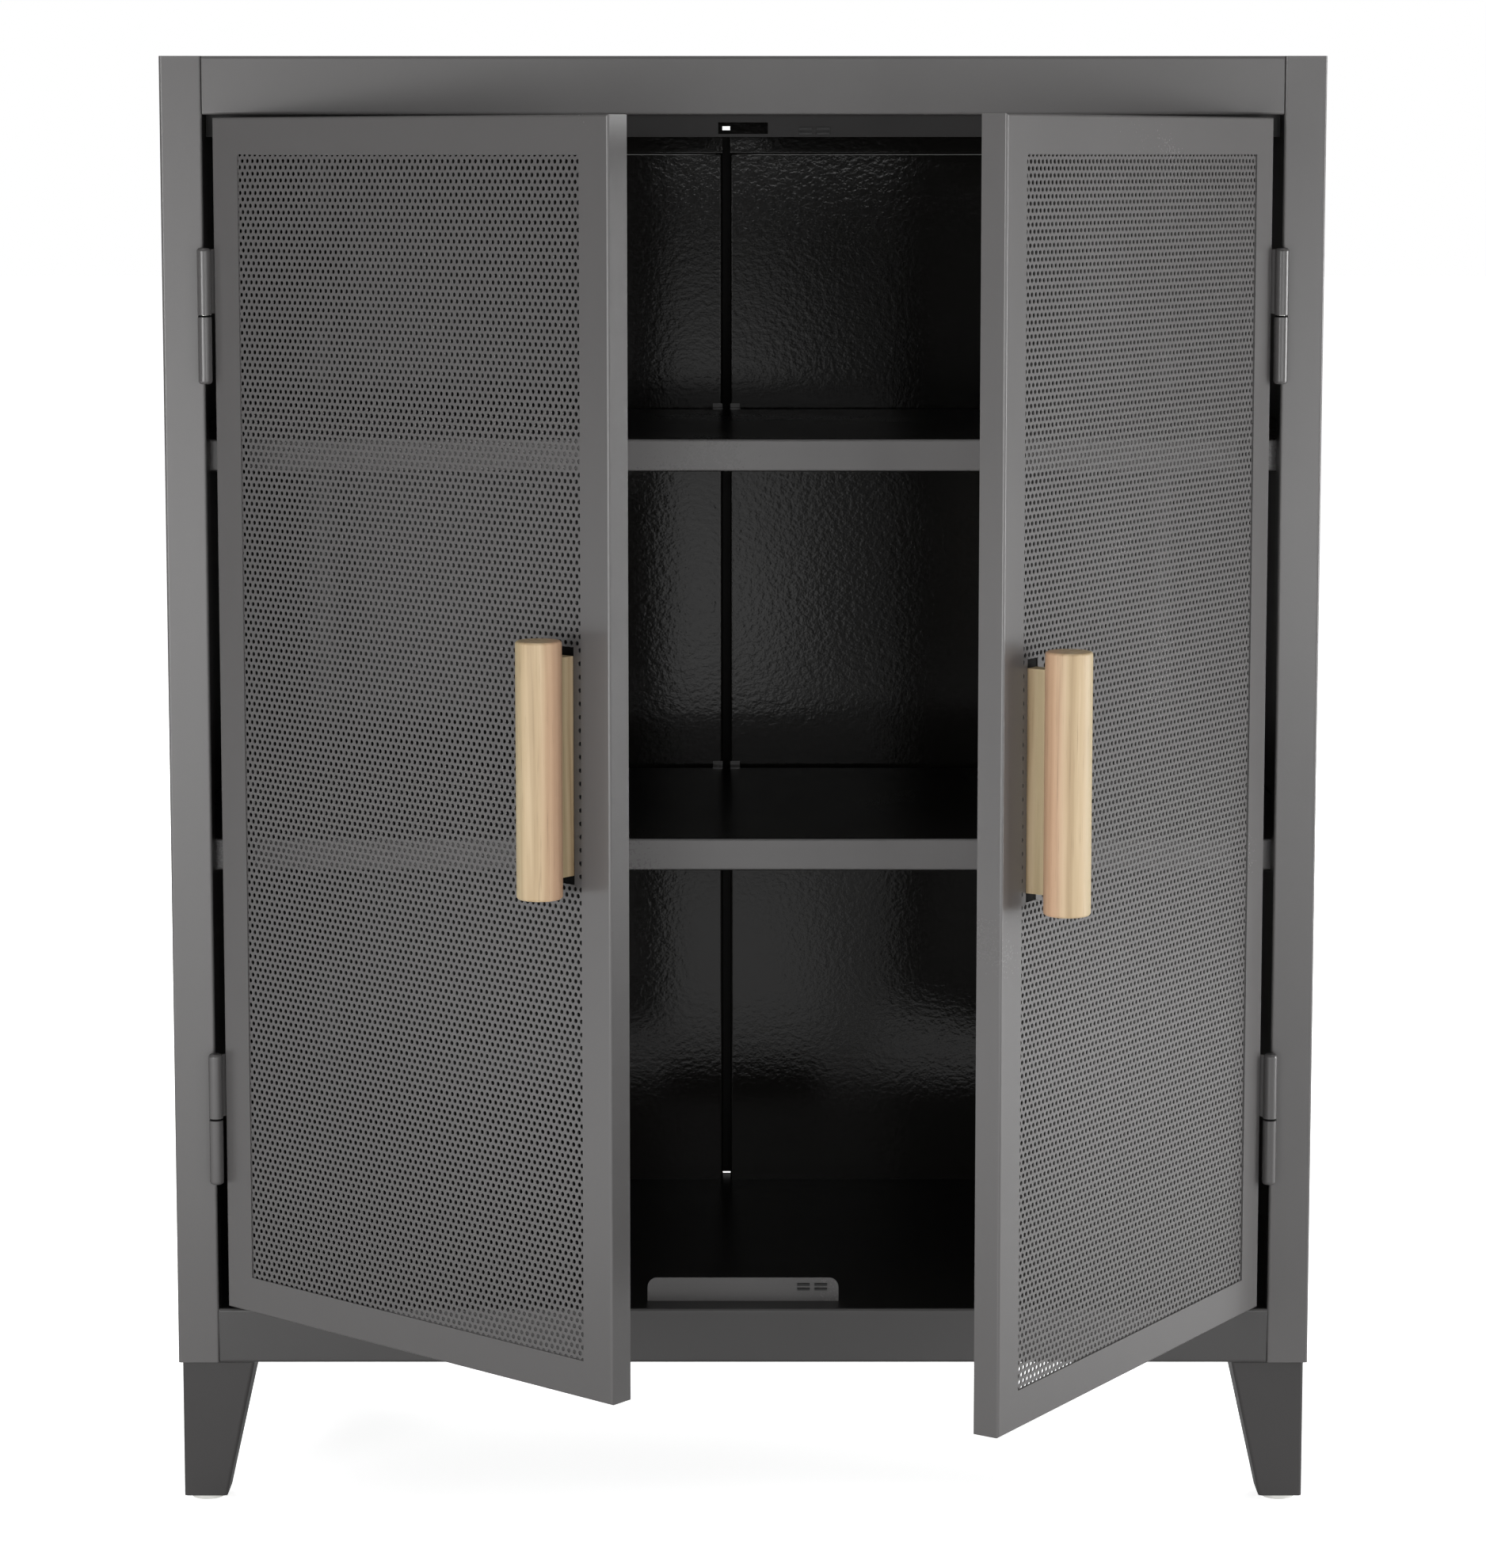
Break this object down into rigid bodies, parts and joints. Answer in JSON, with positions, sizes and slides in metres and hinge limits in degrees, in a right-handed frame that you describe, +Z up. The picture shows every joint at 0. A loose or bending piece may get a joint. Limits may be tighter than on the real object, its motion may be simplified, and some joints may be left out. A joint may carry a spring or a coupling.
{
  "type": "sideboard cabinet",
  "caption": "Low steel storage cabinet on tapered legs, with perforated hinged doors, round wooden bar handles and open inner shelves.",
  "frame": {"origin": "on the floor, under the centre of the cabinet box's 800 x 400 mm footprint", "axes": "+Z up, -Y out of the front towards the user, +X to the right as seen from the front"},
  "size_m": [0.8, 0.7094, 1.02],
  "materials": {
    "painted_steel": "satin powder coat, warm dark grey",
    "black_steel": "black coated steel strip",
    "zinc_steel": "bright zinc",
    "oak": "clear oiled oak, grain along the bar",
    "magnet_block": "black block with steel poles",
    "glide_plastic": "pale, slightly translucent"
  },
  "bodies": {
    "cabinet": {"back_sheet_left": "painted_steel", "back_sheet_right": "painted_steel", "back_splice_strip": "painted_steel", "back_top_rail": "painted_steel", "bottom_panel": "painted_steel", "door_stop_lip": "painted_steel", "door_stop_plate": "painted_steel", "glide_front_left": "glide_plastic", "glide_front_right": "glide_plastic", "glide_rear_left": "glide_plastic", "glide_rear_right": "glide_plastic", "hinge_frame_leaves_left": "painted_steel", "hinge_frame_leaves_right": "painted_steel", "hinge_pins_left": "zinc_steel", "hinge_pins_right": "zinc_steel", "hinge_washers_left": "zinc_steel", "hinge_washers_right": "zinc_steel", "leg_front_left": "painted_steel", "leg_front_right": "painted_steel", "leg_plate_front_left": "painted_steel", "leg_plate_front_right": "painted_steel", "leg_plate_rear_left": "painted_steel", "leg_plate_rear_right": "painted_steel", "leg_rear_left": "painted_steel", "leg_rear_right": "painted_steel", "magnet_catch_lower": "magnet_block", "magnet_catch_upper": "magnet_block", "shelf_clips_lower": "zinc_steel", "shelf_clips_upper": "zinc_steel", "shelf_lower": "painted_steel", "shelf_rear_lugs_lower": "zinc_steel", "shelf_rear_lugs_upper": "zinc_steel", "shelf_upper": "painted_steel", "side_panel_left": "painted_steel", "side_panel_right": "painted_steel", "top_panel": "painted_steel"},
    "left_door": {"door_frame_left": "painted_steel", "door_panel_left": "painted_steel", "handle_backing_left": "black_steel", "handle_bar_left": "oak", "handle_screws_left": "zinc_steel", "handle_spacer_left": "oak", "hinge_door_leaves_left": "painted_steel"},
    "right_door": {"door_frame_right": "painted_steel", "door_panel_right": "painted_steel", "handle_backing_right": "black_steel", "handle_bar_right": "oak", "handle_screws_right": "zinc_steel", "handle_spacer_right": "oak", "hinge_door_leaves_right": "painted_steel"}
  },
  "joints": [
    {"name": "left_door_hinge", "type": "hinge", "parent": "cabinet", "child": "left_door", "pos_m": [-0.37, -0.206, 0.561], "axis": [0, 0, -1], "range_deg": [-40.3, 129.7]},
    {"name": "right_door_hinge", "type": "hinge", "parent": "cabinet", "child": "right_door", "pos_m": [0.37, -0.206, 0.561], "axis": [0, 0, 1], "range_deg": [-56.5, 113.5]}
  ]
}
